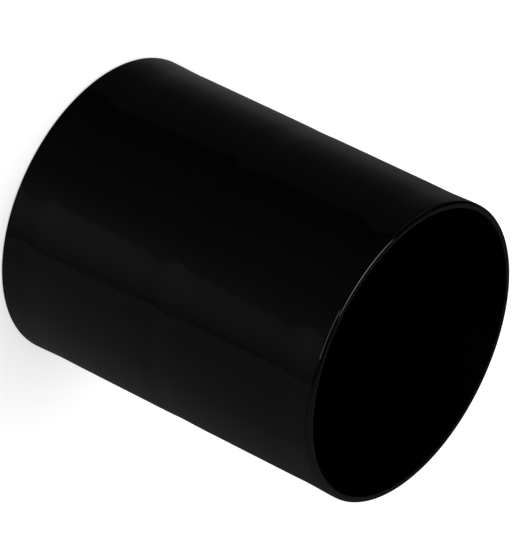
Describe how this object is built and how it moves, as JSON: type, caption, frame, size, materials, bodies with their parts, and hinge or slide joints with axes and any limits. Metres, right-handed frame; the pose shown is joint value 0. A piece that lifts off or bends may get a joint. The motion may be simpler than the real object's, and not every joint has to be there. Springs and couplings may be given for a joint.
{
  "type": "pipe coupler",
  "caption": "Straight round pipe coupler: a thin smooth sleeve with an open socket at each end and a stop ridge round the inside at mid-length.",
  "frame": {"origin": "on the tube's axis, in the plane of the lower rim that the coupler stands on", "axes": "+Z along the tube's axis, from the lower mouth to the upper one; the piece is round, so X and Y are any two directions square to it"},
  "size_m": [0.072, 0.072, 0.0888],
  "materials": {
    "moulded_pvc": "black PVC-U, smooth and glossy as moulded"
  },
  "bodies": {
    "root": {"coupler": "moulded_pvc"}
  },
  "joints": []
}
